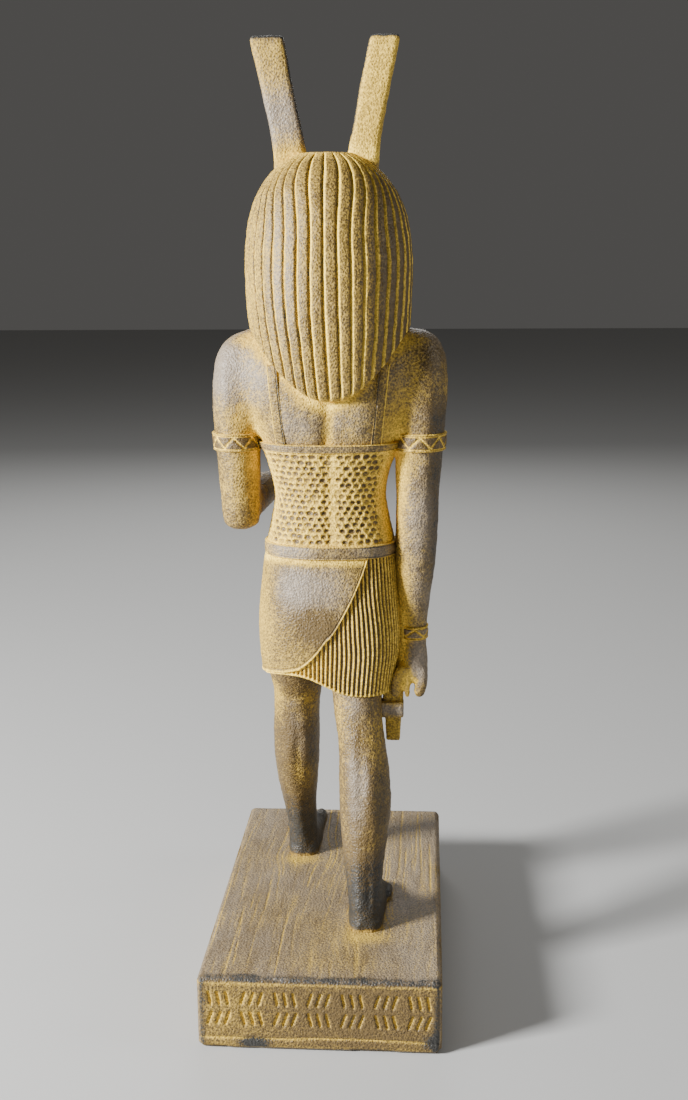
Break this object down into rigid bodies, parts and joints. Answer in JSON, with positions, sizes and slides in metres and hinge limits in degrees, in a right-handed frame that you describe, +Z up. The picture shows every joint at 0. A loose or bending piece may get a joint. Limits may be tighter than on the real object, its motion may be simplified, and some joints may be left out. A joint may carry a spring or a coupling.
{
  "type": "seth statue",
  "caption": "Standing stone figure with long squared ears, fluted wig, scaled corset and pleated kilt, striding on a block plinth, an ankh in the right hand.",
  "frame": {"origin": "middle of the plinth's underside", "axes": "+Z up, the figure looks towards -Y, its left side is at +X"},
  "size_m": [0.0947, 0.162, 0.38],
  "materials": {
    "dusted_basalt": "matt dark stone, rubbed grey-brown on the high places, with ochre dust in the carving"
  },
  "bodies": {
    "root": {"seth_statue": "dusted_basalt"}
  },
  "joints": []
}
